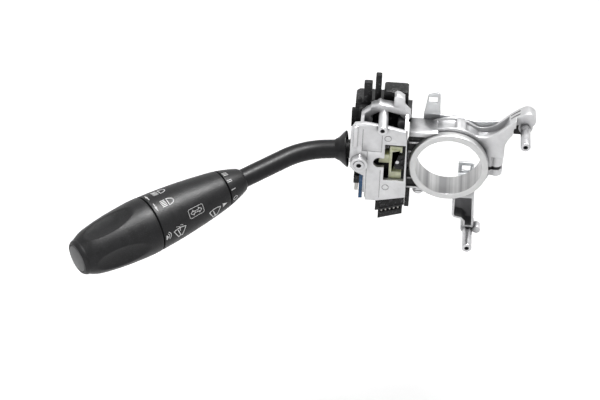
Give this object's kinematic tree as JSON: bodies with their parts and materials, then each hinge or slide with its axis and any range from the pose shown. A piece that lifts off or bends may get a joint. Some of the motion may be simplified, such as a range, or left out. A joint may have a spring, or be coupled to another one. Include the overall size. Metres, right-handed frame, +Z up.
{
  "type": "combination stalk switch",
  "caption": "Steering-column stalk switch: cast frame and clamp ring with mounting posts, bent black stalk, twist knob with push end, self-cancelling turn lever.",
  "frame": {"origin": "centre of the column ring's bore, on the ring's face towards the driver", "axes": "+Y along the column away from the driver, +X to the right away from the stalk, +Z up"},
  "size_m": [0.2691, 0.1348, 0.1106],
  "materials": {
    "cast_aluminium": "die-cast, fine satin",
    "machined_aluminium": "turned, brushed bore",
    "post_steel": "zinc-plated steel",
    "sheet_steel": "stamped sheet",
    "housing_black": "glass-filled black plastic",
    "stalk_black": "satin black coating over steel tube",
    "handle_black": "fine-grained satin black plastic",
    "button_black": "satin black plastic",
    "cream_plastic": "natural translucent plastic",
    "rubber_black": "moulded rubber",
    "board_blue": "solder-masked board",
    "contact_metal": "tinned copper alloy"
  },
  "bodies": {
    "column_body": {"column_ring": "machined_aluminium", "column_bracket": "cast_aluminium", "lower_arm": "cast_aluminium", "frame_arch": "cast_aluminium", "clamp_screw": "post_steel", "arm_bumper": "rubber_black", "locating_screw": "post_steel", "cover_plate": "sheet_steel", "cover_rivets": "post_steel", "switch_frame": "cast_aluminium", "frame_screws": "post_steel", "slider_guide": "housing_black", "mechanism_roof": "housing_black", "rear_housing": "housing_black", "rear_cover": "housing_black", "harness_socket": "housing_black", "harness_socket_pins": "contact_metal", "lower_connector": "housing_black", "lower_contacts": "contact_metal", "side_block": "housing_black", "link_insert": "housing_black", "circuit_board": "board_blue", "terminal_block": "housing_black", "side_terminals": "contact_metal", "right_post": "post_steel", "lower_post": "post_steel", "cancel_spring": "post_steel"},
    "turn_body": {"turn_carrier": "housing_black", "turn_pivot_pins": "post_steel", "tilt_pin": "post_steel"},
    "lever_body": {"lever_root": "housing_black", "stalk_tube": "stalk_black", "lever_boot": "handle_black", "handle_sleeve": "handle_black", "sleeve_bulkhead": "housing_black"},
    "rotor_body": {"wiper_rotor": "housing_black", "number_ring": "handle_black", "wiper_knob": "handle_black", "wash_spring": "post_steel"},
    "button_body": {"wash_button": "button_black"},
    "slider_body": {"cancel_slider": "cream_plastic", "pawl_pin": "post_steel"},
    "pawl_body": {"cancel_pawl": "housing_black"}
  },
  "joints": [
    {"name": "turn_signal", "type": "hinge", "parent": "column_body", "child": "turn_body", "pos_m": [-0.054, 0, 0.007], "axis": [0, 1, 0], "range_deg": [-9, 9]},
    {"name": "main_beam", "type": "hinge", "parent": "turn_body", "child": "lever_body", "pos_m": [-0.054, 0.006, 0.007], "axis": [0, 0, 1], "range_deg": [-7, 6]},
    {"name": "wiper_rotary", "type": "hinge", "parent": "lever_body", "child": "rotor_body", "pos_m": [-0.0886, 0.006, 0.00221], "axis": [-0.7774, -0.6219, -0.0943], "range_deg": [0, 75]},
    {"name": "wash_push", "type": "slide", "parent": "rotor_body", "child": "button_body", "axis": [0.7774, 0.6219, 0.0943], "range_m": [0, 0.0025], "stiffness_N_per_m": 900, "springref_m": -0.002, "deforming": ["wash_spring"]},
    {"name": "cancel_slide", "type": "slide", "parent": "column_body", "child": "slider_body", "axis": [1, 0, 0], "range_m": [0, 0.003], "stiffness_N_per_m": 200, "springref_m": -0.001, "deforming": ["cancel_spring"]},
    {"name": "pawl_swing", "type": "hinge", "parent": "slider_body", "child": "pawl_body", "pos_m": [-0.0312, -0.0027, 0.0053], "axis": [0, 1, 0], "range_deg": [-10, 10], "stiffness_Nm_per_rad": 0.004}
  ]
}
